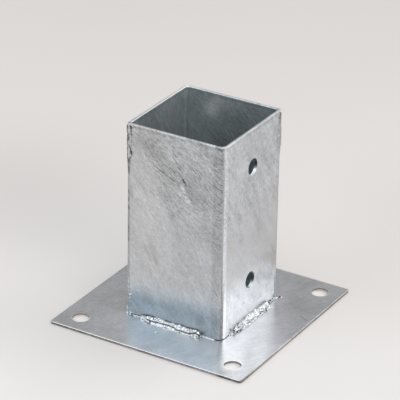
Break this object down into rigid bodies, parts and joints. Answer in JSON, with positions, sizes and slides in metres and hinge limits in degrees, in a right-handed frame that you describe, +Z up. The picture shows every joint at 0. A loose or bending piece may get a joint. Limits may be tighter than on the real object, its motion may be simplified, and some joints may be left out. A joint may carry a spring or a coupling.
{
  "type": "post base",
  "caption": "Galvanised steel post base: a square folded-sheet socket with screw holes, welded to a square base plate with an anchor hole in each corner.",
  "frame": {"origin": "middle of the base plate's underside, on the ground that the plate is bolted to", "axes": "+Z up along the socket; the drilled faces look along +X and -X, the plain faces along +Y and -Y"},
  "size_m": [0.15, 0.15, 0.145],
  "materials": {
    "plate_zinc": "hot-dip galvanised, satin, faintly mottled",
    "sleeve_zinc": "hot-dip galvanised, satin, with fine diagonal streaks",
    "weld_zinc": "hot-dip galvanised weld bead, bright and rippled"
  },
  "bodies": {
    "root": {"base_plate": "plate_zinc", "front_angle": "sleeve_zinc", "back_angle": "sleeve_zinc", "base_weld_front": "weld_zinc", "base_weld_right": "weld_zinc", "base_weld_back": "weld_zinc", "base_weld_left": "weld_zinc", "corner_weld_left": "weld_zinc", "corner_weld_right": "weld_zinc"}
  },
  "joints": []
}
